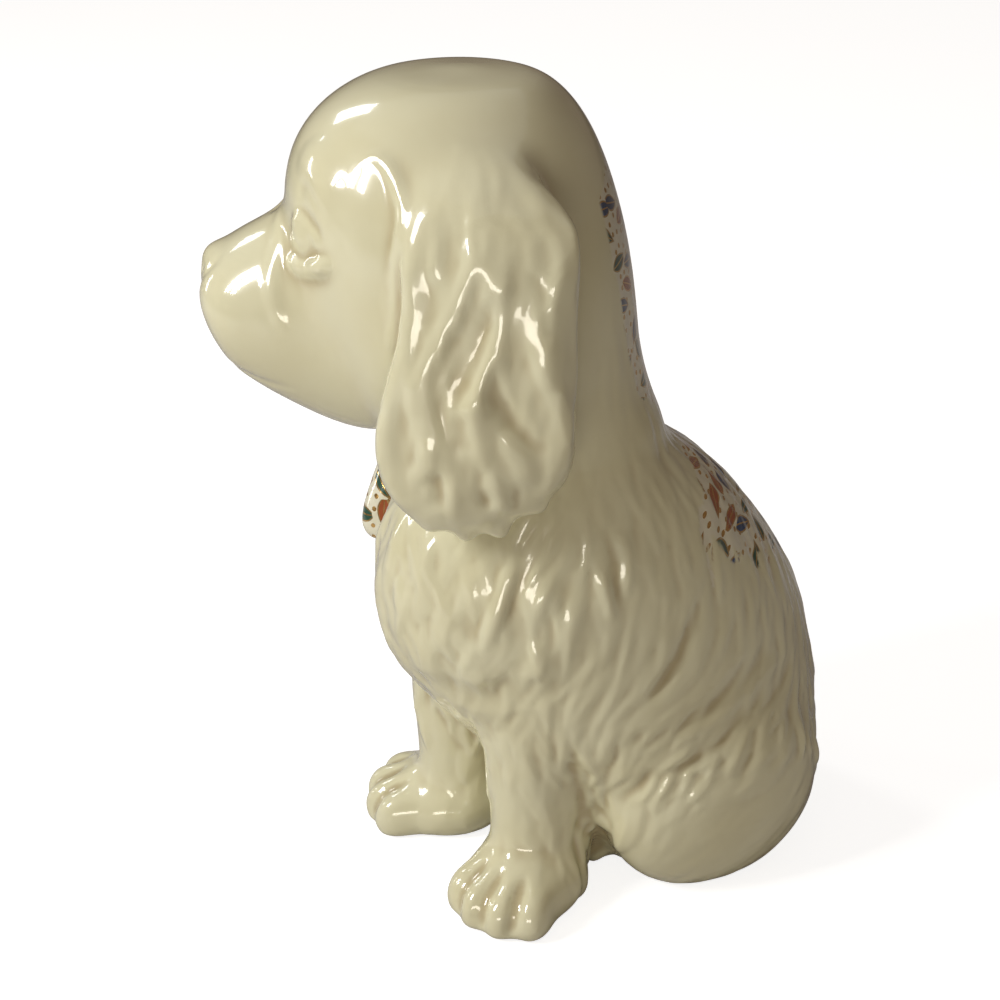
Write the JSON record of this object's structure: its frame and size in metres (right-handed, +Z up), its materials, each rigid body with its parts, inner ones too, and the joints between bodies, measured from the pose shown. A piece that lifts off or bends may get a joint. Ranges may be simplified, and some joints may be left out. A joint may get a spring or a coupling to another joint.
{
  "type": "seated puppy figurine",
  "caption": "Hollow glazed ceramic figure of a seated spaniel puppy with its head turned, long ears and a curled tail; a soft stopper closes the pour hole in its seat.",
  "frame": {"origin": "on the ground under the belly, on the middle plane of the body, in the plane of the flat seat", "axes": "+Z up; -Y is the way the body faces; +X is the puppy's left"},
  "size_m": [0.0652, 0.0997, 0.1336],
  "materials": {
    "glaze": "gloss",
    "stopper": "satin"
  },
  "bodies": {
    "figure": {"torso": "glaze", "head": "glaze", "left_ear": "glaze", "right_ear": "glaze", "left_foreleg": "glaze", "right_foreleg": "glaze", "left_thigh": "glaze", "right_thigh": "glaze", "left_hind_paw": "glaze", "right_hind_paw": "glaze", "tail": "glaze"},
    "stopper": {"stopper": "stopper"}
  },
  "joints": [
    {"name": "stopper_pull", "type": "slide", "parent": "figure", "child": "stopper", "axis": [0, 0, -1], "range_m": [0, 0.014]}
  ]
}
